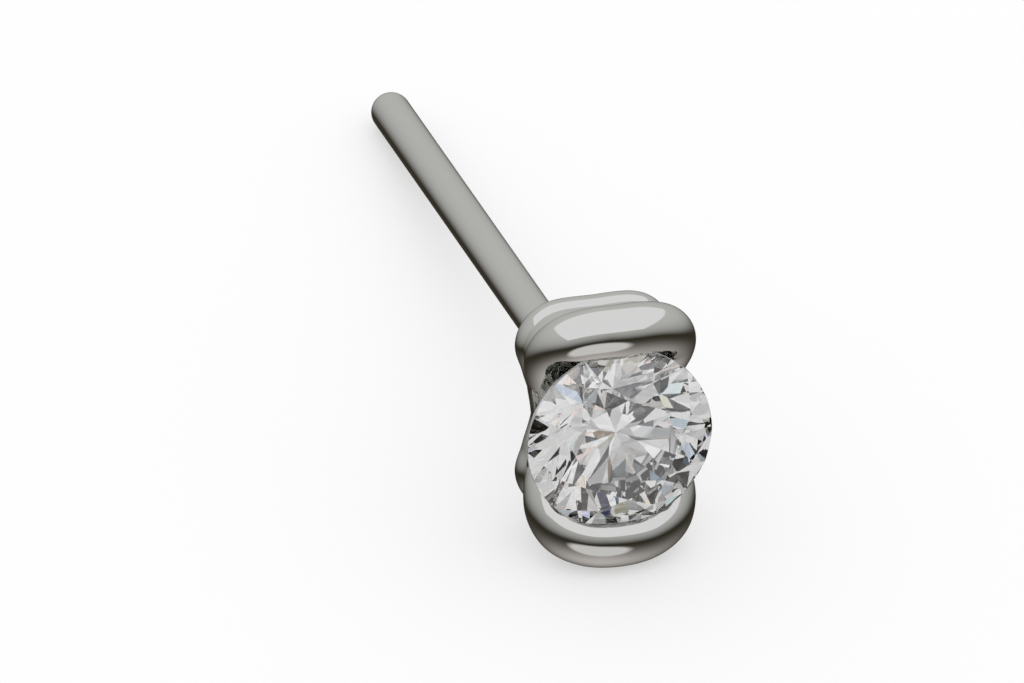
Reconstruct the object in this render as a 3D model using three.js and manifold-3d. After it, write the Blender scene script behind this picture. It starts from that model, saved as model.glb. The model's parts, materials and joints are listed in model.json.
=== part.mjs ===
// A stud earring: a round brilliant stone held above and below by two horn-shaped lobes.
// Behind the stone the lobes meet a rear bead and a low gallery wall, and a plain straight
// post with a round end is soldered to the back of the bead.
//
// The piece is modelled with the stone facing -Y, the post running along +Y and the lobes
// one above the other in Z. It is then laid down as it rests by itself: on the lower lobe
// and on the tip of the post, with the middle of its footprint at the origin.

import * as THREE from 'three';
import { mergeVertices } from 'three/addons/utils/BufferGeometryUtils.js';
import Module from 'manifold-3d';

const wasm = await Module();
wasm.setup();

// Driving dimensions, in millimetres and degrees.

const stoneDiameter = 3.0;
const tableRatio = 0.57;
const crownAngle = 34.5;
const pavilionAngle = 40.75;
const girdleThickness = 0.09;
const starLength = 0.5;
const lowerHalfLength = 0.77;
const girdleSides = 64;
const seatClearance = 0.03;

const postDiameter = 0.64;
const postTipDepth = 12.88;

const rearBeadDepth = 1.38;
const rearBeadEdge = 0.315;
const rearBeadFlat = 0.03;

const wallFront = 0.16;
const wallThickness = 0.27;
const wallInset = 0.06;

// Half of a lobe, from its middle to its tip. The other half mirrors it.
const lobeSections = [
  { across: 0.0, back: 0.052, up: 1.771, radius: 0.453 },
  { across: 0.45, back: 0.113, up: 1.744, radius: 0.447 },
  { across: 0.845, back: 0.273, up: 1.652, radius: 0.372 },
  { across: 1.13, back: 0.423, up: 1.435, radius: 0.245 },
  { across: 1.192, back: 0.596, up: 1.122, radius: 0.182 },
  { across: 1.132, back: 0.766, up: 0.654, radius: 0.088 },
];

// Half of the rounded rim beside the stone, from a lobe's tip to the waist.
const rimSections = [
  { across: 1.09, back: 0.82, up: 0.72, radius: 0.13 },
  { across: 1.05, back: 0.84, up: 0.45, radius: 0.135 },
  { across: 1.01, back: 0.76, up: 0.0, radius: 0.145 },
];

// A quarter of the rear bead's centre line, from its top to its waist.
const beadOutline = [
  { across: 0.0, up: 1.488 },
  { across: 0.68, up: 1.456 },
  { across: 0.95, up: 1.138 },
  { across: 0.85, up: 0.72 },
  { across: 0.68, up: 0.0 },
];

const metal = { color: 0xb4b3ae, metalness: 1.0, roughness: 0.12 };
const gem = { color: 0xf4f6f8, metalness: 0.0, roughness: 0.02 };

const stoneRadius = stoneDiameter / 2;
const postRadius = postDiameter / 2;
const radians = (degrees) => THREE.MathUtils.degToRad(degrees);

// Solids: from a geometry to a solid that can be joined and cut, and back again.

function toSolid(geometry) {
  const bare = geometry.clone();
  bare.deleteAttribute('normal');
  bare.deleteAttribute('uv');
  const merged = mergeVertices(bare, 1e-5);
  const mesh = new wasm.Mesh({
    numProp: 3,
    vertProperties: Float32Array.from(merged.attributes.position.array),
    triVerts: Uint32Array.from(merged.index.array),
  });
  return new wasm.Manifold(mesh);
}

function toGeometry(solid) {
  const mesh = solid.getMesh();
  const geometry = new THREE.BufferGeometry();
  geometry.setAttribute('position', new THREE.BufferAttribute(mesh.vertProperties, 3));
  geometry.setIndex(new THREE.BufferAttribute(mesh.triVerts, 1));
  geometry.computeVertexNormals();
  return geometry;
}

// A rounded bar of changing thickness: a capsule whose axis is laid along the curve
// through the sections, so that both of its ends stay round.
function bentBar(sections, sides, steps) {
  const centres = sections.map((s) => new THREE.Vector3(s.across, s.back, s.up));
  const path = new THREE.CatmullRomCurve3(centres, false, 'catmullrom');
  const radii = new THREE.SplineCurve(sections.map((s, i) => new THREE.Vector2(i, s.radius)));
  const length = 1;
  const geometry = new THREE.CapsuleGeometry(1, length, 4, sides, steps);
  const position = geometry.attributes.position;
  const front = new THREE.Vector3(0, -1, 0);
  for (let i = 0; i < position.count; i += 1) {
    const vertex = new THREE.Vector3().fromBufferAttribute(position, i);
    const along = THREE.MathUtils.clamp(vertex.y, -length / 2, length / 2);
    const t = along / length + 0.5;
    const tangent = path.getTangent(t);
    const side = new THREE.Vector3().crossVectors(tangent, front).normalize();
    const face = new THREE.Vector3().crossVectors(side, tangent).normalize();
    const radius = radii.getPoint(t).y;
    const placed = path.getPoint(t)
      .addScaledVector(side, vertex.x * radius)
      .addScaledVector(face, vertex.z * radius)
      .addScaledVector(tangent, (vertex.y - along) * radius);
    position.setXYZ(i, placed.x, placed.y, placed.z);
  }
  const solid = toSolid(geometry);
  return solid.volume() > 0 ? solid : toSolid(flipped(geometry));
}

function flipped(geometry) {
  const turned = geometry.clone();
  const index = turned.index.array;
  for (let i = 0; i < index.length; i += 3) {
    [index[i], index[i + 1]] = [index[i + 1], index[i]];
  }
  return turned;
}

const mirrored = (sections, axis) => sections.slice(1).reverse()
  .map((s) => ({ ...s, [axis]: -s[axis] }));

// One lobe: thick across the middle of the stone, swept back and thinned to a rounded tip.
function lobe(sign) {
  const whole = [...mirrored(lobeSections, 'across'), ...lobeSections]
    .map((s) => ({ ...s, up: s.up * sign }));
  return bentBar(whole, 20, 36);
}

// The rim beside the stone, from the upper lobe's tip down to the lower one's.
function rim(sign) {
  const waist = rimSections[rimSections.length - 1];
  const upper = rimSections.slice(0, -1);
  const lower = upper.map((s) => ({ ...s, up: -s.up })).reverse();
  const whole = [...upper, waist, ...lower].map((s) => ({ ...s, across: s.across * sign }));
  return bentBar(whole, 12, 12);
}

// The rear bead's centre line as a closed outline, moved outwards by a distance.
function beadShape(outwards, divisions) {
  const quarter = beadOutline.map((p) => new THREE.Vector2(p.across, p.up));
  const right = [
    ...quarter,
    ...quarter.slice(0, -1).reverse().map((p) => new THREE.Vector2(p.x, -p.y)),
  ];
  const left = right.slice(1, -1).reverse().map((p) => new THREE.Vector2(-p.x, p.y));
  const loop = new THREE.CatmullRomCurve3(
    [...right, ...left].map((p) => new THREE.Vector3(p.x, p.y, 0)), true, 'catmullrom',
  );
  const points = [];
  for (let i = 0; i < divisions; i += 1) {
    const centre = loop.getPoint(i / divisions);
    const tangent = loop.getTangent(i / divisions);
    points.push(new THREE.Vector2(centre.x - tangent.y * outwards, centre.y + tangent.x * outwards));
  }
  return points;
}

// An outline in the XZ plane, pushed back along +Y from a starting depth.
function alongPost(shape, start, depth, bevel) {
  const settings = { depth, bevelEnabled: bevel > 0, steps: 1 };
  if (bevel > 0) {
    Object.assign(settings, { bevelThickness: bevel, bevelSize: bevel, bevelSegments: 5 });
  }
  const geometry = new THREE.ExtrudeGeometry(shape, settings);
  geometry.rotateX(Math.PI / 2);
  geometry.translate(0, start + depth, 0);
  return toSolid(geometry);
}

// The rear bead is a waisted plate whose whole edge is rounded.
function rearBead() {
  const shape = new THREE.Shape(beadShape(0, 72));
  return alongPost(shape, rearBeadDepth - rearBeadFlat / 2, rearBeadFlat, rearBeadEdge);
}

// The gallery wall joins the lobes to the rear bead. Its front edge sweeps back with the
// lobes, which leaves the left and right of the stone open.
function galleryWall() {
  const outer = rearBeadEdge - wallInset;
  const outside = new THREE.Shape(beadShape(outer, 72));
  const inside = new THREE.Shape(beadShape(outer - wallThickness, 72));
  const depth = rearBeadDepth - wallFront;
  const wall = alongPost(outside, wallFront, depth, 0)
    .subtract(alongPost(inside, 0, 2 * rearBeadDepth, 0));

  const waist = rimSections[rimSections.length - 1];
  const sweep = [
    ...lobeSections.map((s) => [s.back, s.up]),
    [waist.back, waist.up],
  ];
  const low = sweep.slice(0, -1).reverse().map(([back, up]) => [back, -up]);
  const reach = 2 * stoneRadius;
  const profile = new THREE.Shape([...sweep, ...low, [reach, -reach], [reach, reach]]
    .map(([back, up]) => new THREE.Vector2(back, up)));
  const across = new THREE.ExtrudeGeometry(profile, { depth: 2 * reach, bevelEnabled: false });
  across.translate(0, 0, -reach);
  across.rotateX(Math.PI / 2);
  across.rotateZ(Math.PI / 2);
  return { wall, across };
}

// The straight post, with a half-round tip.
function post() {
  const root = rearBeadDepth;
  const profile = [new THREE.Vector2(0, root)];
  profile.push(new THREE.Vector2(postRadius, root));
  const arc = 8;
  for (let i = 0; i <= arc; i += 1) {
    const angle = (i / arc) * (Math.PI / 2);
    const out = i === arc ? 0 : postRadius * Math.cos(angle);
    profile.push(new THREE.Vector2(out, postTipDepth - postRadius + postRadius * Math.sin(angle)));
  }
  return toSolid(new THREE.LatheGeometry(profile, 32));
}

// The stone, as a closed set of facets.

const crownHeight = (radius) => girdleThickness / 2
  + (stoneRadius - radius) * Math.tan(radians(crownAngle));
const pavilionDepth = (radius) => girdleThickness / 2
  + (stoneRadius - radius) * Math.tan(radians(pavilionAngle));

function stoneSolid() {
  const facets = 8;
  const step = (2 * Math.PI) / facets;
  const half = step / 2;
  const tableRadius = tableRatio * stoneRadius;
  const tableSide = tableRadius * Math.cos(half);
  const starRadius = tableSide + starLength * (stoneRadius - tableSide);
  const lowerRadius = (1 - lowerHalfLength) * stoneRadius;
  const skirt = stoneRadius / Math.cos(half / 2) * 1.012;

  const corner = (radius, angle, depth) => new THREE.Vector3(
    radius * Math.cos(angle), depth, radius * Math.sin(angle),
  );
  const triangles = [];
  const add = (...corners) => {
    for (let i = 1; i + 1 < corners.length; i += 1) {
      triangles.push(corners[0], corners[i], corners[i + 1]);
    }
  };
  const table = [];
  const culet = corner(0, 0, pavilionDepth(0));
  for (let k = 0; k < facets; k += 1) {
    const here = k * step;
    const star = (angle) => corner(starRadius, angle, -crownHeight(starRadius * Math.cos(half)));
    const low = (angle) => corner(lowerRadius, angle, pavilionDepth(lowerRadius * Math.cos(half)));
    const top = (angle) => corner(skirt, angle, -crownHeight(skirt));
    const under = (angle) => corner(skirt, angle, pavilionDepth(skirt));
    const tableCorner = corner(tableRadius, here, -crownHeight(tableRadius));
    const nextCorner = corner(tableRadius, here + step, -crownHeight(tableRadius));
    table.push(tableCorner);
    add(tableCorner, star(here - half), top(here), star(here + half));
    add(tableCorner, star(here + half), nextCorner);
    add(star(here + half), top(here), top(here + half));
    add(star(here + half), top(here + half), top(here + step));
    add(culet, low(here + half), under(here), low(here - half));
    add(low(here + half), under(here + half), under(here));
    add(low(here + half), under(here + step), under(here + half));
    add(top(here), under(here), under(here + half), top(here + half));
    add(top(here + half), under(here + half), under(here + step), top(here + step));
  }
  add(...table);
  const geometry = new THREE.BufferGeometry().setFromPoints(triangles);
  geometry.setAttribute('uv', new THREE.BufferAttribute(new Float32Array(triangles.length * 2), 2));
  geometry.setAttribute('normal', geometry.attributes.position.clone());
  geometry.setIndex([...triangles.keys()]);
  let cut = toSolid(geometry);
  if (cut.volume() < 0) {
    cut = toSolid(flipped(geometry));
  }
  const girdle = toSolid(new THREE.CylinderGeometry(
    stoneRadius, stoneRadius, 2 * stoneDiameter, girdleSides,
  ));
  return cut.intersect(girdle);
}

// The space for the stone: its outline turned on the lathe, a clearance larger all round.
function seat() {
  const wide = stoneRadius + seatClearance;
  const shoulder = girdleThickness / 2 + seatClearance;
  const tableRadius = tableRatio * stoneRadius;
  const front = -crownHeight(tableRadius) - stoneRadius;
  const crownSlope = Math.tan(radians(crownAngle));
  const profile = [
    new THREE.Vector2(0, front),
    new THREE.Vector2(tableRadius, front),
    new THREE.Vector2(tableRadius, -shoulder - (wide - tableRadius) * crownSlope),
    new THREE.Vector2(wide, -shoulder),
    new THREE.Vector2(wide, shoulder),
    new THREE.Vector2(0, shoulder + wide * Math.tan(radians(pavilionAngle))),
  ];
  return toSolid(new THREE.LatheGeometry(profile, girdleSides));
}

function settingSolid() {
  const { wall, across } = galleryWall();
  const swept = wall.intersect(toSolid(across));
  const joined = lobe(1).add(lobe(-1)).add(rim(1)).add(rim(-1))
    .add(swept).add(rearBead()).add(post());
  return joined.subtract(seat());
}

// The resting place: the lower lobe's thickest part and the post's tip touch the ground.

function restingTilt() {
  const lobeMiddle = lobeSections[0];
  const span = postTipDepth - postRadius - lobeMiddle.back;
  const distance = Math.hypot(span, lobeMiddle.up);
  return Math.atan2(lobeMiddle.up, span)
    + Math.asin((lobeMiddle.radius - postRadius) / distance);
}

const setting = new THREE.Mesh(
  toGeometry(settingSolid()), new THREE.MeshStandardMaterial(metal),
);
setting.name = 'setting_and_post';

const stone = new THREE.Mesh(toGeometry(stoneSolid()), new THREE.MeshStandardMaterial(gem));
stone.name = 'round_stone';

const stud = new THREE.Group();
stud.add(setting, stone);
stud.rotation.x = -restingTilt();

const resting = new THREE.Group();
resting.add(stud);
resting.updateMatrixWorld(true);
const bounds = new THREE.Box3().setFromObject(resting, true);
const middle = bounds.getCenter(new THREE.Vector3());
resting.position.set(-middle.x, -middle.y, -bounds.min.z);

export default resting;
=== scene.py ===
# %% [markdown]
# # A stud earring in Blender
#
# This lesson dresses a small piece of jewellery: a round cut stone between two polished,
# horn-shaped lobes, on a straight post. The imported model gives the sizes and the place. Every
# surface here is a mirror or a lens, so the shapes have to be smooth and the lights matter.

# %% Load the frame
import json
import math

import bmesh
import bpy
from mathutils import Matrix, Vector


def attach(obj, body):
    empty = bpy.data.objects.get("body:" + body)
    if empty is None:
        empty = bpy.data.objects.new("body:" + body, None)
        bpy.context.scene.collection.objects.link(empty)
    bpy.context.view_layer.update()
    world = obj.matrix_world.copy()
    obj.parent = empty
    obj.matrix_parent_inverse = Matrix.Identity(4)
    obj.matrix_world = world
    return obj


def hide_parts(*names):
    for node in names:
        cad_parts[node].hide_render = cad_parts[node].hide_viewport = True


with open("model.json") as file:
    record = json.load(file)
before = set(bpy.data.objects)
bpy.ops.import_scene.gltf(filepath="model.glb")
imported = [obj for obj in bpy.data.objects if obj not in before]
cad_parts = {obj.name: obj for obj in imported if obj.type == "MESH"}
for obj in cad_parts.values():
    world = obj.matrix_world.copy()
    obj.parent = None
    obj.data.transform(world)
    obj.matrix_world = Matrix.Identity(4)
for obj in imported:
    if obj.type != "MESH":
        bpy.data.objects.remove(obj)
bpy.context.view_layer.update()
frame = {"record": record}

MM = 0.001

# %% [markdown]
# ## Where the stud lies
#
# The stud is easiest to model upright: the stone facing -Y, the post along +Y and the lobes one
# above the other in Z. At rest it leans on its lower lobe and on the post's tip. The flat back
# of the setting is a named face of the frame, so its place and direction say how the stud lies.

# %% Read the resting place
BACK_DEPTH = 1.71 * MM
BACK_POINT_HEIGHT = 0.94 * MM

back_face = frame["record"]["mounts"][0]
post_way = Vector(back_face["axis"]).normalized()
across_way = Vector((1, 0, 0))
up_way = across_way.cross(post_way)
stone_middle = (
    Vector(back_face["pos_m"]) - post_way * BACK_DEPTH - up_way * BACK_POINT_HEIGHT
)
resting = Matrix.Translation(stone_middle) @ Matrix(
    (across_way, post_way, up_way)
).transposed().to_4x4()
print("lean in degrees:", round(math.degrees(math.asin(-post_way.z)), 2))

# %% [markdown]
# ## The camera
#
# The photograph was taken from far away with a long lens, so parallel edges of the post stay
# parallel. An orthographic camera would draw them so too, but a lens of a metre is nearer to
# what a photographer does. The camera stands to the left of the stone and looks down on it.

# %% Set up the camera
CAMERA_AZIMUTH = math.radians(-18.138)
CAMERA_ELEVATION = math.radians(33.643)
CAMERA_ROLL = math.radians(3.007)
CAMERA_DISTANCE = 443.6 * MM
CAMERA_AIM = Vector((-1.419, -4.752, 3.382)) * MM
LENS = 1000
SENSOR_WIDTH = 36
NEAREST = 10 * MM
FARTHEST = 1500 * MM


def direction(azimuth, elevation):
    """A way to look or to light: azimuth 0 is straight in front and grows to the right."""
    return Vector((
        math.sin(azimuth) * math.cos(elevation),
        -math.cos(azimuth) * math.cos(elevation),
        math.sin(elevation),
    ))


camera_back = direction(CAMERA_AZIMUTH, CAMERA_ELEVATION)
bpy.ops.object.camera_add(location=CAMERA_AIM + camera_back * CAMERA_DISTANCE)
camera = bpy.context.object
camera.name = "camera"
camera.data.lens = LENS
camera.data.sensor_width = SENSOR_WIDTH
camera.data.clip_start = NEAREST
camera.data.clip_end = FARTHEST
facing = (-camera_back).to_track_quat("-Z", "Y").to_matrix()
camera.rotation_euler = (facing @ Matrix.Rotation(CAMERA_ROLL, 3, "Z")).to_euler()
bpy.context.scene.camera = camera
print("camera at", [round(part / MM, 1) for part in camera.location], "mm")

# %% [markdown]
# ## Tools for the bench
#
# Every piece starts as a primitive and is shaped in edit mode. Operators act on whatever is
# selected, so these helpers clear the selection, choose points by their place, and at the end
# lay the piece down with its origin at the world's origin.

# %% Helpers for selecting and finishing


def nothing_selected():
    if bpy.context.object and bpy.context.object.mode != "OBJECT":
        bpy.ops.object.mode_set(mode="OBJECT")
    bpy.ops.object.select_all(action="DESELECT")


def only(piece):
    nothing_selected()
    piece.select_set(True)
    bpy.context.view_layer.objects.active = piece


def added(name):
    piece = bpy.context.object
    piece.name = name
    piece.data.name = name
    return piece


def select_points(piece, wanted):
    mesh = bmesh.from_edit_mesh(piece.data)
    bpy.ops.mesh.select_mode(type="VERT")
    bpy.ops.mesh.select_all(action="DESELECT")
    for point in mesh.verts:
        point.select = wanted(point.co)
    mesh.select_flush(True)
    bmesh.update_edit_mesh(piece.data)


def apply_all(piece):
    only(piece)
    for modifier in list(piece.modifiers):
        bpy.ops.object.modifier_apply(modifier=modifier.name)


def face_outwards(piece):
    only(piece)
    bpy.ops.object.mode_set(mode="EDIT")
    bpy.ops.mesh.select_all(action="SELECT")
    bpy.ops.mesh.remove_doubles(threshold=1e-8)
    bpy.ops.mesh.normals_make_consistent(inside=False)
    bpy.ops.object.mode_set(mode="OBJECT")


def place_applied(piece):
    only(piece)
    bpy.ops.object.transform_apply(location=True, rotation=True, scale=True)


# %% [markdown]
# ## The horn-shaped lobes
#
# Each lobe looks like a bead of metal that is thick over the stone and thins into a horn at
# either side. On the real piece that comes from the order of work: a thick wire is bent into a
# bow that leans back, and then a window is sawn straight through for the stone. The horns are
# what the saw leaves of the bow's sides. A stretched ball could be sculpted into the same form,
# but the wire and the saw give its edges by themselves, so the same two steps make it here. The
# wire is a curve with a round bevel: each of its points has a place and a radius.

# %% Forge a bent wire
RING_SIDES = 12
WIRE_STEPS = 4
SMOOTHING_LEVELS = 3
# The smoothing below draws a ring of few sides in, to this share of its radius.
ROUND_LOSS = (2 + math.cos(2 * math.pi / RING_SIDES)) / 3
# The rim of an open end, in shares of the radius: how far off and how flat its points may lie.
RIM_REACH = 1.3
RIM_DEPTH = 0.1
# Each step of a dome: how far it rises, in shares of the radius, and what it narrows to.
DOME_STEPS = ((0.55, 0.8), (0.3, 0.55))


def smooth_through(spline, places):
    """Leads the curve through the places. A handle runs along the line past its point."""
    closed = spline.use_cyclic_u
    before = places[-1] if closed else places[0] * 2 - places[1]
    after = places[0] if closed else places[-1] * 2 - places[-2]
    line = [before, *places, after]
    for point, earlier, place, later in zip(spline.bezier_points, line, places, line[2:]):
        point.handle_left_type = "FREE"
        point.handle_right_type = "FREE"
        point.co = place
        point.handle_left = place - (later - earlier) / 6
        point.handle_right = place + (later - earlier) / 6


def forged_wire(name, sections):
    """A round wire of changing thickness through (place, radius) sections, with domed ends."""
    nothing_selected()
    bpy.ops.curve.primitive_bezier_curve_add(location=(0, 0, 0))
    wire = added(name)
    spline = wire.data.splines[0]
    spline.bezier_points.add(len(sections) - 2)
    smooth_through(spline, [place for place, _ in sections])
    for point, (_, radius) in zip(spline.bezier_points, sections):
        point.radius = radius / ROUND_LOSS
    spline.radius_interpolation = "CARDINAL"
    wire.data.bevel_mode = "ROUND"
    wire.data.bevel_depth = 1
    wire.data.bevel_resolution = (RING_SIDES - 4) // 2
    wire.data.resolution_u = WIRE_STEPS
    only(wire)
    bpy.ops.object.convert(target="MESH")
    wire = bpy.context.object
    dome_ends(wire, sections)
    smooth = wire.modifiers.new("smooth", "SUBSURF")
    smooth.levels = SMOOTHING_LEVELS
    smooth.render_levels = SMOOTHING_LEVELS
    apply_all(wire)
    face_outwards(wire)
    return wire


def dome_ends(wire, sections):
    ends = (sections[0], sections[1]), (sections[-1], sections[-2])
    for (tip, radius), (before, _) in ends:
        way = (tip - before).normalized()
        only(wire)
        bpy.ops.object.mode_set(mode="EDIT")
        select_points(
            wire,
            lambda co: (co - tip).length < radius * RIM_REACH
            and abs((co - tip).dot(way)) < radius * RIM_DEPTH,
        )
        bpy.ops.mesh.edge_face_add()
        for rise, narrow in DOME_STEPS:
            bpy.ops.mesh.extrude_region_move(
                TRANSFORM_OT_translate={"value": way * radius * rise}
            )
            bpy.ops.transform.resize(
                value=(narrow, narrow, narrow), center_override=middle_of_selected(wire)
            )
        bpy.ops.object.mode_set(mode="OBJECT")


def middle_of_selected(piece):
    mesh = bmesh.from_edit_mesh(piece.data)
    chosen = [point.co for point in mesh.verts if point.select]
    return sum(chosen, Vector()) / len(chosen)


# %% Bend the lobes
# Half of each lobe from the middle to its end, in millimetres: across, back, up, radius.
UPPER_LOBE = (
    (0.000, 0.052, 1.771, 0.453),
    (0.450, 0.113, 1.744, 0.447),
    (0.800, 0.250, 1.610, 0.432),
    (0.985, 0.440, 1.370, 0.385),
    (0.990, 0.600, 1.110, 0.370),
    (0.930, 0.745, 0.840, 0.350),
)
LOWER_LOBE = (
    (0.000, 0.066, -1.766, 0.456),
    (0.450, 0.126, -1.738, 0.451),
    (0.800, 0.270, -1.600, 0.440),
    (0.950, 0.450, -1.360, 0.425),
    (0.940, 0.610, -1.110, 0.425),
    (0.860, 0.760, -0.860, 0.425),
)


def whole_lobe(half):
    right = [(Vector((across, back, up)) * MM, radius * MM) for across, back, up, radius in half]
    left = [(Vector((-place.x, place.y, place.z)), radius) for place, radius in right[1:]]
    return left[::-1] + right


upper_lobe = forged_wire("upper_lobe", whole_lobe(UPPER_LOBE))
lower_lobe = forged_wire("lower_lobe", whole_lobe(LOWER_LOBE))
print("lobe faces:", len(upper_lobe.data.polygons), len(lower_lobe.data.polygons))

# %% [markdown]
# ## The saw window
#
# The window lets the stone sit between the horns. It could be pressed into the wire point by
# point, but then the line where the saw comes out would be soft. A block with rounded corners,
# taken away by a Boolean, leaves the flat cut and the sharp edge of a saw. Only the upper lobe
# is sawn, and wider at the left, the side that the photograph shows.

# %% Saw the window through the upper lobe
WINDOW_LEFT = -1.165 * MM
WINDOW_RIGHT = 0.88 * MM
WINDOW_HALF_HEIGHT = 1.512 * MM
WINDOW_CORNER = 0.24 * MM
CORNER_FACES = 12
SAW_REACH = 4 * MM


def window(left, right):
    """A long block with rounded corners, to cut with."""
    nothing_selected()
    bpy.ops.mesh.primitive_cube_add(
        size=2,
        location=((left + right) / 2, 0, 0),
        scale=((right - left) / 2, SAW_REACH, WINDOW_HALF_HEIGHT),
    )
    block = added("window")
    place_applied(block)
    bpy.ops.object.mode_set(mode="EDIT")
    mesh = bmesh.from_edit_mesh(block.data)
    bpy.ops.mesh.select_all(action="DESELECT")
    bpy.ops.mesh.select_mode(type="EDGE")
    for edge in mesh.edges:
        start, end = (point.co for point in edge.verts)
        edge.select = abs(start.y - end.y) > SAW_REACH
    bmesh.update_edit_mesh(block.data)
    bpy.ops.mesh.bevel(offset=WINDOW_CORNER, segments=CORNER_FACES, affect="EDGES")
    bpy.ops.object.mode_set(mode="OBJECT")
    return block


def combine(piece, other, operation):
    only(piece)
    cut = piece.modifiers.new(operation.lower(), "BOOLEAN")
    cut.operation = operation
    cut.solver = "EXACT"
    cut.object = other
    bpy.ops.object.modifier_apply(modifier=cut.name)
    bpy.data.objects.remove(other)


combine(upper_lobe, window(WINDOW_LEFT, WINDOW_RIGHT), "DIFFERENCE")
print("sawn lobe faces:", len(upper_lobe.data.polygons))

# %% [markdown]
# ## The rear bead
#
# Behind the lobes sits a waisted plate whose whole edge is rounded. A box could be pushed into
# that outline and bevelled, but a closed curve holds the waist with a few points, and its own
# bevel rounds the edge evenly all the way. The outline is drawn flat, thickened and stood up.

# %% Draw the waisted outline
BEAD_EDGE = 0.315 * MM
BEAD_FLAT = 0.03 * MM
BEAD_DEPTH = 1.38 * MM
# A quarter of the outline from its top to its waist, in millimetres: across, up.
BEAD_OUTLINE = ((0.00, 1.488), (0.68, 1.456), (0.95, 1.138), (0.85, 0.72), (0.68, 0.0))
OUTLINE_STEPS = 12
EDGE_STEPS = 10


def closed_curve(name, places):
    nothing_selected()
    bpy.ops.curve.primitive_bezier_circle_add(location=(0, 0, 0))
    curve = added(name)
    spline = curve.data.splines[0]
    spline.bezier_points.add(len(places) - len(spline.bezier_points))
    smooth_through(spline, places)
    curve.data.resolution_u = OUTLINE_STEPS
    return curve


def as_mesh(curve):
    only(curve)
    bpy.ops.object.convert(target="MESH")
    piece = bpy.context.object
    face_outwards(piece)
    return piece


def whole_outline(quarter):
    quarter = [Vector((across, up, 0)) * MM for across, up in quarter]
    right = quarter + [Vector((p.x, -p.y, 0)) for p in quarter[-2::-1]]
    left = [Vector((-p.x, p.y, 0)) for p in right[-2:0:-1]]
    return right + left


def outline_plate(name, quarter, offset, depth, edge):
    """A plate with the outline, moved out by the offset, and with its edges rounded."""
    outline = closed_curve(name, whole_outline(quarter))
    outline.data.dimensions = "2D"
    outline.data.fill_mode = "BOTH"
    outline.data.offset = offset
    outline.data.extrude = depth / 2
    outline.data.bevel_depth = edge
    outline.data.bevel_resolution = EDGE_STEPS if edge else 0
    return as_mesh(outline)


def stand_up(piece, depth):
    piece.rotation_euler = (math.radians(90), 0, 0)
    piece.location = (0, depth, 0)
    place_applied(piece)


rear_bead = outline_plate("rear_bead", BEAD_OUTLINE, 0, BEAD_FLAT, BEAD_EDGE)
stand_up(rear_bead, BEAD_DEPTH)
print("rear bead faces:", len(rear_bead.data.polygons))

# %% [markdown]
# ## The collar
#
# A flat collar shows as a pale ledge under each horn. It could be extruded out of the wall, but
# its outline is wider and less waisted, so it is a plate of its own, made like the bead with a
# sharper edge. The block that sawed the window, a little wider, opens it for the stone.

# %% Fit the collar
# A quarter of the outline again, in millimetres: across, up.
COLLAR_OUTLINE = (
    (0.00, 1.60), (0.80, 1.53), (1.14, 1.12), (1.195, 0.72), (1.145, 0.32), (1.12, 0.0)
)
COLLAR_FRONT = 0.68 * MM
COLLAR_THICKNESS = 0.26 * MM
COLLAR_EDGE = 0.04 * MM
COLLAR_HALF_OPENING = 1.0 * MM

collar_flat = COLLAR_THICKNESS - 2 * COLLAR_EDGE
collar = outline_plate("collar", COLLAR_OUTLINE, 0, collar_flat, COLLAR_EDGE)
stand_up(collar, COLLAR_FRONT + COLLAR_THICKNESS / 2)
combine(collar, window(-COLLAR_HALF_OPENING, COLLAR_HALF_OPENING), "DIFFERENCE")
print("collar faces:", len(collar.data.polygons))

# %% [markdown]
# ## The gallery wall
#
# A thin upright wall joins the bead to the lobes. It is open inside, round the stone's point. A
# Solidify modifier on an outline would give it its thickness too, but a smaller outline taken
# out of a larger one puts both faces exactly where they belong. A leaning wedge then clears
# what would stand out in front, between the lobes.

# %% Raise the gallery wall
WALL_FRONT = 0.16 * MM
WALL_THICKNESS = 0.27 * MM
WALL_INSET = 0.06 * MM
SWEEP_TOP = 1.90 * MM
SWEEP_LEAN = math.radians(40.7)

wall_depth = BEAD_DEPTH - WALL_FRONT
wall_offset = BEAD_EDGE - WALL_INSET
wall = outline_plate("gallery_wall", BEAD_OUTLINE, wall_offset, wall_depth, 0)
stand_up(wall, WALL_FRONT + wall_depth / 2)
hollow = outline_plate("hollow", BEAD_OUTLINE, wall_offset - WALL_THICKNESS, 4 * wall_depth, 0)
stand_up(hollow, 0)
combine(wall, hollow, "DIFFERENCE")


def sweep_wedge():
    """A block that fills the place in front of the wall, between the leaning lobes."""
    deep = COLLAR_FRONT + COLLAR_THICKNESS / 2
    nothing_selected()
    bpy.ops.mesh.primitive_cube_add(
        size=2,
        location=(0, (deep - SAW_REACH) / 2, 0),
        scale=(SAW_REACH, (deep + SAW_REACH) / 2, 1),
    )
    wedge = added("wedge")
    place_applied(wedge)
    bpy.ops.object.mode_set(mode="EDIT")
    for depth in (-SAW_REACH, deep):
        height = SWEEP_TOP - depth / math.tan(SWEEP_LEAN)
        select_points(wedge, lambda co: abs(co.y - depth) < MM)
        bpy.ops.transform.resize(value=(1, 1, height), center_override=(0, 0, 0))
    bpy.ops.object.mode_set(mode="OBJECT")
    return wedge


combine(wall, sweep_wedge(), "DIFFERENCE")
print("wall faces:", len(wall.data.polygons))

# %% [markdown]
# ## The post
#
# The post is straight wire with a half-round tip. A cylinder and half a ball could be joined,
# but a bevel about as wide as the radius rounds the cylinder's own end in one step, without a
# seam.

# %% Draw the post
POST_RADIUS = 0.32 * MM
POST_TIP = 12.88 * MM
POST_SIDES = 96
TIP_ROUNDING = 0.97
TIP_STEPS = 20
HAIR = 0.01 * MM

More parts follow.
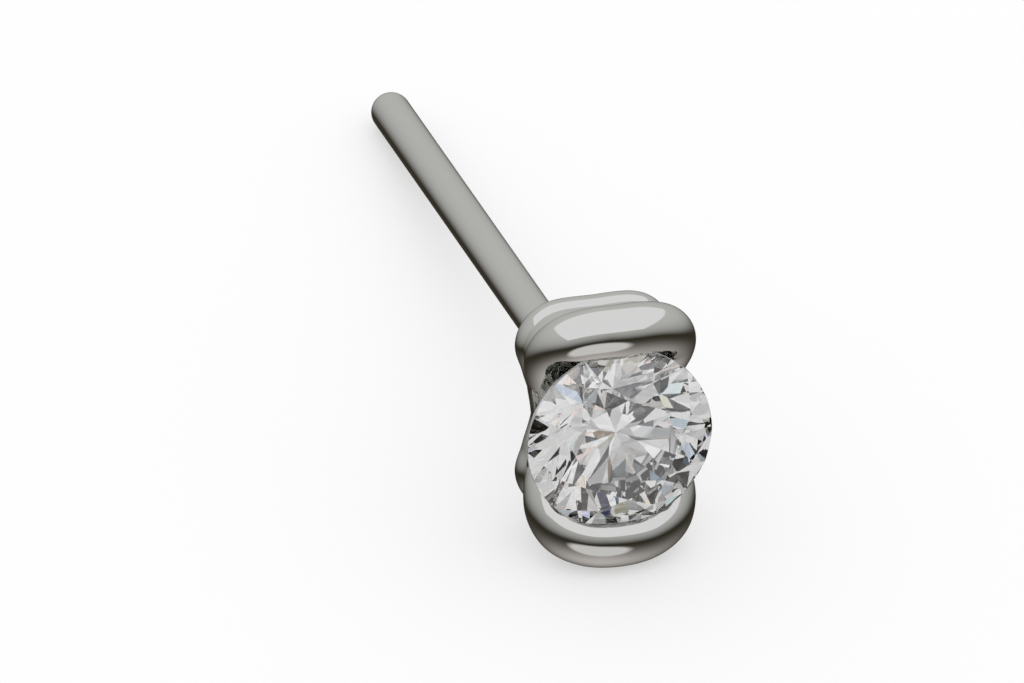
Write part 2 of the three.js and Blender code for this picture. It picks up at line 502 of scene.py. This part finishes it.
nothing_selected()
post_length = POST_TIP - BEAD_DEPTH
bpy.ops.mesh.primitive_cylinder_add(
    vertices=POST_SIDES, radius=POST_RADIUS, depth=post_length,
    location=(0, BEAD_DEPTH + post_length / 2, 0), rotation=(math.radians(90), 0, 0),
)
post = added("post")
place_applied(post)
bpy.ops.object.mode_set(mode="EDIT")
select_points(post, lambda co: co.y > POST_TIP - HAIR)
bpy.ops.mesh.bevel(offset=POST_RADIUS * TIP_ROUNDING, segments=TIP_STEPS, affect="EDGES")
bpy.ops.object.mode_set(mode="OBJECT")
print("post faces:", len(post.data.polygons))

# %% [markdown]
# ## One piece of metal
#
# The real parts are soldered and polished together, so they become one solid. Parts that only
# overlap would look the same, but would leave faces hidden inside the metal. A Boolean union
# keeps the outer skin alone.

# %% Solder the setting
setting = post
for part in (rear_bead, wall, collar, upper_lobe, lower_lobe):
    combine(setting, part, "UNION")
setting.name = "polished_setting"
setting.data.name = "polished_setting"
print("setting faces:", len(setting.data.polygons))

# %% [markdown]
# ## The seat
#
# The seat is the groove that holds the stone. It could be guessed with a few cuts, but a setter
# cuts it with a burr of the stone's own outline, a hair larger. The same burr, taken away from
# the setting, leaves an even gap all round. Then the smooth faces are shaded round and the cut
# edges stay sharp.

# %% Cut the seat
STONE_RADIUS = 1.5 * MM
TABLE_RATIO = 0.57
CROWN_ANGLE = math.radians(34.5)
PAVILION_ANGLE = math.radians(40.75)
GIRDLE = 0.09 * MM
SEAT_CLEARANCE = 0.03 * MM
BURR_SHANK = 1 * MM
ROUND_SIDES = 128
SHARPEST_SMOOTH = math.radians(28)


def seat_burr():
    wide = STONE_RADIUS + SEAT_CLEARANCE
    shoulder = GIRDLE / 2 + SEAT_CLEARANCE
    nothing_selected()
    bpy.ops.mesh.primitive_cylinder_add(
        vertices=ROUND_SIDES, radius=wide, depth=2 * shoulder,
        rotation=(math.radians(90), 0, 0),
    )
    burr = added("burr")
    place_applied(burr)
    bpy.ops.object.mode_set(mode="EDIT")
    select_points(burr, lambda co: co.y < 0)
    table = TABLE_RATIO * STONE_RADIUS / wide
    rise = (wide - TABLE_RATIO * STONE_RADIUS) * math.tan(CROWN_ANGLE)
    bpy.ops.mesh.extrude_region_move(TRANSFORM_OT_translate={"value": (0, -rise, 0)})
    bpy.ops.transform.resize(value=(table, 1, table), center_override=(0, 0, 0))
    bpy.ops.mesh.extrude_region_move(TRANSFORM_OT_translate={"value": (0, -BURR_SHANK, 0)})
    select_points(burr, lambda co: co.y > 0)
    depth = wide * math.tan(PAVILION_ANGLE)
    bpy.ops.mesh.extrude_region_move(TRANSFORM_OT_translate={"value": (0, depth, 0)})
    bpy.ops.mesh.merge(type="CENTER")
    bpy.ops.object.mode_set(mode="OBJECT")
    face_outwards(burr)
    return burr


combine(setting, seat_burr(), "DIFFERENCE")
face_outwards(setting)
only(setting)
bpy.ops.object.shade_smooth_by_angle(angle=SHARPEST_SMOOTH)
setting.matrix_world = resting
place_applied(setting)
print("setting faces:", len(setting.data.polygons))

# %% [markdown]
# ## Cutting the stone
#
# A brilliant could be typed in as a list of corners, but the cutter's own way is simpler: start
# from a round blank and grind one flat facet after another. Here the grinder is the bisect
# operator, which cuts the blank by a plane and closes the cut. Every set of facets is told by
# three points that its plane goes through, and by the turns that repeat it round the stone.

# %% Make the grinder
MAIN_FACETS = 8
STAR_LENGTH = 0.5
LOWER_HALF_LENGTH = 0.77
# The upper and lower halves leave the girdle a little wavy, as on a real stone.
SCALLOP = 0.012

FACET_TURN = 2 * math.pi / MAIN_FACETS


def stone_blank():
    nothing_selected()
    bpy.ops.mesh.primitive_cylinder_add(
        vertices=ROUND_SIDES, radius=STONE_RADIUS, depth=4 * STONE_RADIUS,
        rotation=(math.radians(90), 0, 0),
    )
    blank = added("cut_stone")
    place_applied(blank)
    return blank


def grind(point, outwards):
    """Grinds away what lies beyond a plane through the point, and leaves a closed facet."""
    bpy.ops.mesh.select_all(action="SELECT")
    bpy.ops.mesh.bisect(
        plane_co=point, plane_no=outwards, use_fill=True, clear_outer=True, threshold=1e-9
    )


def around(radius, turn, depth):
    return Vector((radius * math.cos(turn), depth, radius * math.sin(turn)))


def grind_round(points, turns):
    """One set of facets: each plane goes through three points, turned round the stone."""
    for turn in turns:
        corners = [around(radius, turn + swing, depth) for radius, swing, depth in points]
        outwards = (corners[1] - corners[0]).cross(corners[2] - corners[0]).normalized()
        if outwards.dot(around(1, turn, 0)) < 0:
            outwards = -outwards
        grind(corners[0], outwards)


def crown_rise(radius):
    return -GIRDLE / 2 - (STONE_RADIUS - radius) * math.tan(CROWN_ANGLE)


def pavilion_drop(radius):
    return GIRDLE / 2 + (STONE_RADIUS - radius) * math.tan(PAVILION_ANGLE)


# %% Cut the brilliant
half_turn = FACET_TURN / 2
table_radius = TABLE_RATIO * STONE_RADIUS
table_side = table_radius * math.cos(half_turn)
star_radius = table_side + STAR_LENGTH * (STONE_RADIUS - table_side)
star_depth = crown_rise(star_radius * math.cos(half_turn))
lower_radius = (1 - LOWER_HALF_LENGTH) * STONE_RADIUS
lower_depth = pavilion_drop(lower_radius * math.cos(half_turn))

mains = [FACET_TURN * k for k in range(MAIN_FACETS)]
between = [turn + half_turn for turn in mains]
girdle_edge = STONE_RADIUS / math.cos(half_turn / 2) * (1 + SCALLOP)

brilliant = stone_blank()
bpy.ops.object.mode_set(mode="EDIT")
table_depth = crown_rise(table_radius)
grind(Vector((0, table_depth, 0)), Vector((0, -1, 0)))
tip = pavilion_drop(0)
grind_round(
    ((table_radius, 0, table_depth), (star_radius, half_turn, star_depth),
     (star_radius, -half_turn, star_depth)),
    mains,
)
grind_round(
    ((table_radius, half_turn, table_depth), (table_radius, -half_turn, table_depth),
     (star_radius, 0, star_depth)),
    between,
)
for side in (1, -1):
    grind_round(
        ((star_radius, side * half_turn, star_depth), (girdle_edge, 0, crown_rise(girdle_edge)),
         (girdle_edge, side * half_turn, crown_rise(girdle_edge))),
        mains,
    )
    grind_round(
        ((lower_radius, side * half_turn, lower_depth),
         (girdle_edge, 0, pavilion_drop(girdle_edge)),
         (girdle_edge, side * half_turn, pavilion_drop(girdle_edge))),
        mains,
    )
grind_round(
    ((0, 0, tip), (lower_radius, half_turn, lower_depth), (lower_radius, -half_turn, lower_depth)),
    mains,
)
bpy.ops.object.mode_set(mode="OBJECT")
face_outwards(brilliant)
only(brilliant)
bpy.ops.object.shade_flat()
brilliant.matrix_world = resting
place_applied(brilliant)
print("stone faces:", len(brilliant.data.polygons))

# %% [markdown]
# ## Node benches
#
# A material is a small program made of nodes. They could be made and wired line by line, but
# sums then grow long. Two helpers keep them readable: a bench that makes any node from its
# type, settings and inputs, and a signal that turns sums written in Python into Math nodes.

# %% A bench for making nodes


class Signal:
    def __init__(self, bench, socket):
        self.bench = bench
        self.socket = socket

    def maths(self, operation, *others):
        values = dict(enumerate((self, *others)))
        return self.bench.make("ShaderNodeMath", {"operation": operation}, values)

    def __add__(self, other):
        return self.maths("ADD", other)

    def __mul__(self, other):
        return self.maths("MULTIPLY", other)

    def __sub__(self, other):
        return self.maths("SUBTRACT", other)

    def __truediv__(self, other):
        return self.maths("DIVIDE", other)

    def __rsub__(self, other):
        return self * -1 + other

    __radd__ = __add__
    __rmul__ = __mul__

    def between(self, low, high):
        """0 below low, 1 above high and a smooth step between them."""
        settings = {"interpolation_type": "SMOOTHSTEP"}
        values = {"Value": self, "From Min": low, "From Max": high}
        return self.bench.make("ShaderNodeMapRange", settings, values)


class Bench:
    def __init__(self, tree):
        self.tree = tree
        tree.nodes.clear()

    def make(self, kind, settings=None, values=None, output=0):
        """A new node: settings first, then the values or links of its sockets."""
        node = self.tree.nodes.new(kind)
        for name, value in (settings or {}).items():
            if name == "stops":
                self.set_stops(node.color_ramp, value)
            else:
                setattr(node, name, value)
        for name, value in (values or {}).items():
            if isinstance(value, Signal):
                self.tree.links.new(value.socket, node.inputs[name])
            else:
                node.inputs[name].default_value = value
        return Signal(self, node.outputs[output]) if len(node.outputs) else node

    def set_stops(self, ramp, stops):
        while len(ramp.elements) < len(stops):
            ramp.elements.new(0.5)
        for element, (place, colour) in zip(ramp.elements, stops):
            element.position = place
            element.color = (*colour, 1)

    def parts(self, vector):
        split = self.make("ShaderNodeSeparateXYZ", values={"Vector": vector})
        return [Signal(self, output) for output in split.socket.node.outputs]

    def mix(self, share, first, second):
        """A blend of two colours. The Mix node's colour sockets are 6 and 7 in, and 2 out."""
        settings = {"data_type": "RGBA"}
        return self.make("ShaderNodeMix", settings, {0: share, 6: first, 7: second}, output=2)


# %% [markdown]
# ## Polished metal
#
# The metal is a mirror with a grey tint, as rhodium plate is. Even a good polish leaves a faint
# bloom. It could be drawn as wheel marks in the normal, but at this size they would only show
# as grit, so a soft noise lets the roughness drift a little over the surface.

# %% Polish the setting
METAL_TINT = (0.67, 0.67, 0.64, 1)
BEST_POLISH = 0.02
BLOOM = 0.03
BLOOM_SCALE = 900
OBJECT_COORDINATES = 3


def polished_metal():
    material = bpy.data.materials.new("polished_metal")
    material.use_nodes = True
    bench = Bench(material.node_tree)
    place = bench.make("ShaderNodeTexCoord", output=OBJECT_COORDINATES)
    bloom = bench.make(
        "ShaderNodeTexNoise", values={"Vector": place, "Scale": BLOOM_SCALE, "Detail": 3}
    )
    roughness = bloom * BLOOM + BEST_POLISH
    shader = bench.make(
        "ShaderNodeBsdfPrincipled",
        values={"Base Color": METAL_TINT, "Metallic": 1.0, "Roughness": roughness},
    )
    bench.make("ShaderNodeOutputMaterial", values={"Surface": shader})
    return material


metal = polished_metal()
setting.data.materials.clear()
setting.data.materials.append(metal)
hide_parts("setting_and_post")
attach(setting, "root")
print("metal on:", setting.name)

# %% [markdown]
# ## Clear stone
#
# A cut stone is plain clear glass to a renderer, only with a far higher index of refraction,
# which is what turns the light back to the front. Its facets are polished flat, but the girdle
# is left as it was ground, a fine frosted line all round. It could have a second material, but
# the frost is easily found by how far a point lies from the stone's axis, and so the stone
# stays one piece with one finish.

# %% Make the stone clear
STONE_IOR = 2.42
GIRDLE_FROST = 0.35
# Where the frost starts and where it is full, in shares of the stone's radius.
FROST_STARTS = 0.996
FROST_FULL = 0.999


def clear_stone():
    material = bpy.data.materials.new("clear_stone")
    material.use_nodes = True
    bench = Bench(material.node_tree)
    place = bench.make("ShaderNodeTexCoord", output=OBJECT_COORDINATES)
    inner = {"operation": "DOT_PRODUCT"}
    outward = bench.make(
        "ShaderNodeVectorMath", {"operation": "SUBTRACT"}, {0: place, 1: stone_middle}
    )
    along = bench.make("ShaderNodeVectorMath", inner, {0: outward, 1: post_way}, output=1)
    square = bench.make("ShaderNodeVectorMath", inner, {0: outward, 1: outward}, output=1)
    from_axis = (square - along * along).maths("SQRT") / STONE_RADIUS
    frost = from_axis.between(FROST_STARTS, FROST_FULL) * GIRDLE_FROST
    shader = bench.make(
        "ShaderNodeBsdfPrincipled",
        values={
            "Base Color": (1, 1, 1, 1),
            "Transmission Weight": 1.0,
            "IOR": STONE_IOR,
            "Roughness": frost,
        },
    )
    bench.make("ShaderNodeOutputMaterial", values={"Surface": shader})
    return material


brilliant.data.materials.clear()
brilliant.data.materials.append(clear_stone())
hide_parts("round_stone")
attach(brilliant, "root")
print("stone on:", brilliant.name)

# %% [markdown]
# ## The floor
#
# The stud lies on white paper in a light tent, lit from all sides at once, so its shadow is
# faint. Lamps behind a white sheet would give that light too, only with more noise. Here the
# paper glows a little by itself and thins the shadow, as the tent's walls do. The metal and the
# stone don't see the paper: the studio gives them their ground.

# %% Lay the floor
FLOOR_SIZE = 2000 * MM
FLOOR_GLOW = 0.46
FLOOR_WHITE = 0.57

nothing_selected()
bpy.ops.mesh.primitive_plane_add(size=FLOOR_SIZE, location=(0, 0, 0))
floor = added("floor")
floor.visible_glossy = False
floor.visible_transmission = False


def white_floor():
    material = bpy.data.materials.new("white_floor")
    material.use_nodes = True
    bench = Bench(material.node_tree)
    paper = bench.make(
        "ShaderNodeBsdfDiffuse", values={"Color": (FLOOR_WHITE, FLOOR_WHITE, FLOOR_WHITE, 1)}
    )
    glow = bench.make("ShaderNodeEmission", values={"Strength": FLOOR_GLOW})
    both = bench.make("ShaderNodeAddShader", values={0: paper, 1: glow})
    bench.make("ShaderNodeOutputMaterial", values={"Surface": both})
    return material


floor.data.materials.append(white_floor())
print("floor in mm:", [round(side / MM) for side in floor.dimensions.xy])

# %% [markdown]
# ## The sky and the ground
#
# Polished metal only shows what stands round it: here a pale sky that darkens to a thin line at
# the horizon, and a warm ground below it. Walls and backdrops could be modelled for that, but a
# world works on the direction alone, so two curves over the height above the horizon hold it
# all. The horizon dips towards the rear.

# %% Paint the sky and the ground
HORIZON_DROP = 24
UPRIGHT = 90
ALMOST_NONE = 1e-6
HORIZON = (0.04, 0.035, 0.025, 1)
SKY_TOP = (0.73, 0.73, 0.73, 1)
# Where the sky is halfway to its top tone, in shares of upright, and how fast it turns there.
SKY_HALFWAY = 0.205
SKY_TURN = 1.7
GROUND_COLOUR = (0.62, 0.585, 0.575, 1)
GROUND_REACH = 0.85


def sky_and_ground(bench, way):
    x, y, z = way
    flat = (x * x + y * y + ALMOST_NONE).maths("SQRT")
    rearwards = (1 + y / flat) / 2
    elevation = z.maths("ARCSINE") * (180 / math.pi)
    horizon = rearwards.maths("SQRT") * -HORIZON_DROP
    rise = (elevation - horizon) / UPRIGHT
    lift = rise.maths("MAXIMUM", 0).maths("POWER", SKY_TURN)
    sky = lift / (lift + SKY_HALFWAY ** SKY_TURN)
    ground = (rise * -1).between(0, GROUND_REACH)
    return bench.mix(ground, bench.mix(sky, HORIZON, SKY_TOP), GROUND_COLOUR)


print("halfway up the sky in degrees:", round(SKY_HALFWAY * UPRIGHT, 1))

# %% [markdown]
# ## The panel and the reflector
#
# A large soft panel hangs overhead and a round reflector stands low in front. Both show on every
# rounded edge. Area lamps would be the plain choice, but a mirror shows a lamp's edge hard. Here
# each is a mask with a soft step at its edge: the panel is measured on a flat ceiling, and the
# reflector by how far a direction is off its middle.

# %% Hang the panel and stand the reflector
# The panel lies on a ceiling at a height of 1. Its left edge slants and bows to the rear.
PANEL_LEFT = -1.34
PANEL_SLANT = 0.33
PANEL_BOW = 0.05
PANEL_RIGHT = 1.30
PANEL_FRONT = -1.7
PANEL_REAR = 1.08
PANEL_EDGE = 0.07
PANEL_COLOUR = (0.965, 0.955, 0.996, 1)
LOWEST_HEIGHT = 0.01
REFLECTOR_AZIMUTH = math.radians(-7)
REFLECTOR_ELEVATION = math.radians(-28.5)
REFLECTOR_RADIUS = math.radians(21)
REFLECTOR_EDGE = math.radians(4)
REFLECTOR_WIDENING = 1.19
REFLECTOR_COLOUR = (0.77, 0.76, 0.77, 1)


def panel_mask(way):
    x, y, z = way
    over = z.maths("MAXIMUM", LOWEST_HEIGHT)
    u = x / over
    v = y / over
    from_left = u - (v * PANEL_SLANT - v * v * PANEL_BOW + PANEL_LEFT)
    return (
        from_left.between(-PANEL_EDGE, PANEL_EDGE)
        * (1 - u.between(PANEL_RIGHT - PANEL_EDGE, PANEL_RIGHT + PANEL_EDGE))
        * v.between(PANEL_FRONT - PANEL_EDGE, PANEL_FRONT + PANEL_EDGE)
        * (1 - v.between(PANEL_REAR - PANEL_EDGE, PANEL_REAR + PANEL_EDGE))
        * z.maths("GREATER_THAN", 0)
    )


def cosine(way, aim):
    """How closely the way follows the aim: 1 along it, 0 across it."""
    x, y, z = way
    return x * aim.x + y * aim.y + z * aim.z


def reflector_mask(way):
    aim = direction(REFLECTOR_AZIMUTH, REFLECTOR_ELEVATION)
    beside = Vector((-aim.y, aim.x, 0)).normalized()
    above = beside.cross(aim)
    right = cosine(way, beside) / REFLECTOR_WIDENING
    high = cosine(way, above)
    off = (right * right + high * high).maths("SQRT")
    return cosine(way, aim).maths("GREATER_THAN", 0) * (1 - off.between(
        math.sin(REFLECTOR_RADIUS - REFLECTOR_EDGE), math.sin(REFLECTOR_RADIUS + REFLECTOR_EDGE)
    ))


print("reflector across in degrees:", round(math.degrees(2 * REFLECTOR_RADIUS)))

# %% [markdown]
# ## What the stone gathers
#
# A cut stone folds the whole studio into its facets, and splits white light into its fire. The
# renderer's glass bends all colours alike, so it has no fire of its own. Several stones of
# slightly different index could be laid over each other, at several times the work. Here the
# rays that leave the stone meet the studio in a few clear tones, a little apart for red and
# blue, and a black card in front, as jewellery photographers use it, gives the dark facets.

# %% Set the stone's tones and its card
FIRE = 0.06
FIRE_SWINGS = 9
STONE_TONES = (
    (0.00, (0.02, 0.02, 0.02)),
    (0.11, (0.03, 0.03, 0.03)),
    (0.14, (0.34, 0.34, 0.34)),
    (0.32, (0.42, 0.42, 0.42)),
    (0.36, (0.55, 0.55, 0.55)),
    (0.50, (0.60, 0.60, 0.60)),
    (0.53, (0.80, 0.80, 0.80)),
    (1.00, (0.82, 0.82, 0.82)),
)
CARD_AZIMUTH = math.radians(-16.5)
CARD_ELEVATION = math.radians(25)
CARD_RADIUS = math.radians(11.5)
CARD_EDGE = math.radians(1)
CARD_COLOUR = (0.03, 0.03, 0.031, 1)


def fiery_tones(bench, colour, sideways):
    """Real fire turns from warm to cold with the way the light leaves, so the shift swings."""
    tone = bench.make("ShaderNodeRGBToBW", values={"Color": colour})
    swing = (sideways * FIRE_SWINGS).maths("SINE") * FIRE
    red, green, blue = (
        bench.make(
            "ShaderNodeValToRGB", {"stops": STONE_TONES}, {"Fac": tone * (1 + swing * share)}
        )
        for share in (-1, 0, 1)
    )
    values = {"Red": red, "Green": green, "Blue": blue}
    return bench.make("ShaderNodeCombineColor", values=values)


def card_mask(way):
    aim = direction(CARD_AZIMUTH, CARD_ELEVATION)
    return cosine(way, aim).between(
        math.cos(CARD_RADIUS + CARD_EDGE), math.cos(CARD_RADIUS - CARD_EDGE)
    )


print("tones in the stone:", len(STONE_TONES))

# %% [markdown]
# ## The studio together
#
# The studio leans with the stud, so that its lines run along the lobes. The tent itself is plain
# white where it is seen directly or lights the floor, and only the metal and the stone see the
# panel, the reflector and the rest. One world can do this, because the Light Path node tells
# what kind of ray asks.

# %% Put the studio together
SEEN_DIRECTLY = 0
FROM_THE_FLOOR = 2
OUT_OF_THE_STONE = 6
WHITE = (1, 1, 1, 1)


def studio_world():
    world = bpy.data.worlds.new("studio")
    world.use_nodes = True
    bench = Bench(world.node_tree)
    lean = math.asin(-post_way.z)
    upright = bench.make("ShaderNodeTexCoord")
    leaning = bench.make(
        "ShaderNodeVectorRotate", {"rotation_type": "X_AXIS"}, {"Vector": upright, "Angle": lean}
    )
    way = bench.parts(leaning)
    colour = sky_and_ground(bench, way)
    colour = bench.mix(reflector_mask(way), colour, REFLECTOR_COLOUR)
    colour = bench.mix(panel_mask(way), colour, PANEL_COLOUR)
    seen, spread, through = (
        bench.make("ShaderNodeLightPath", output=kind)
        for kind in (SEEN_DIRECTLY, FROM_THE_FLOOR, OUT_OF_THE_STONE)
    )
    gathered = bench.mix(card_mask(way), fiery_tones(bench, colour, way[0]), CARD_COLOUR)
    colour = bench.mix(through, colour, gathered)
    colour = bench.mix(seen + spread, colour, WHITE)
    background = bench.make("ShaderNodeBackground", values={"Color": colour, "Strength": 1.0})
    bench.make("ShaderNodeOutputWorld", values={"Surface": background})
    return world


scene = bpy.context.scene
scene.world = studio_world()
scene.view_settings.view_transform = "Standard"
scene.cycles.max_bounces = 12
scene.cycles.transmission_bounces = 8
scene.cycles.glossy_bounces = 12
scene.cycles.use_denoising = True
print("studio ready")
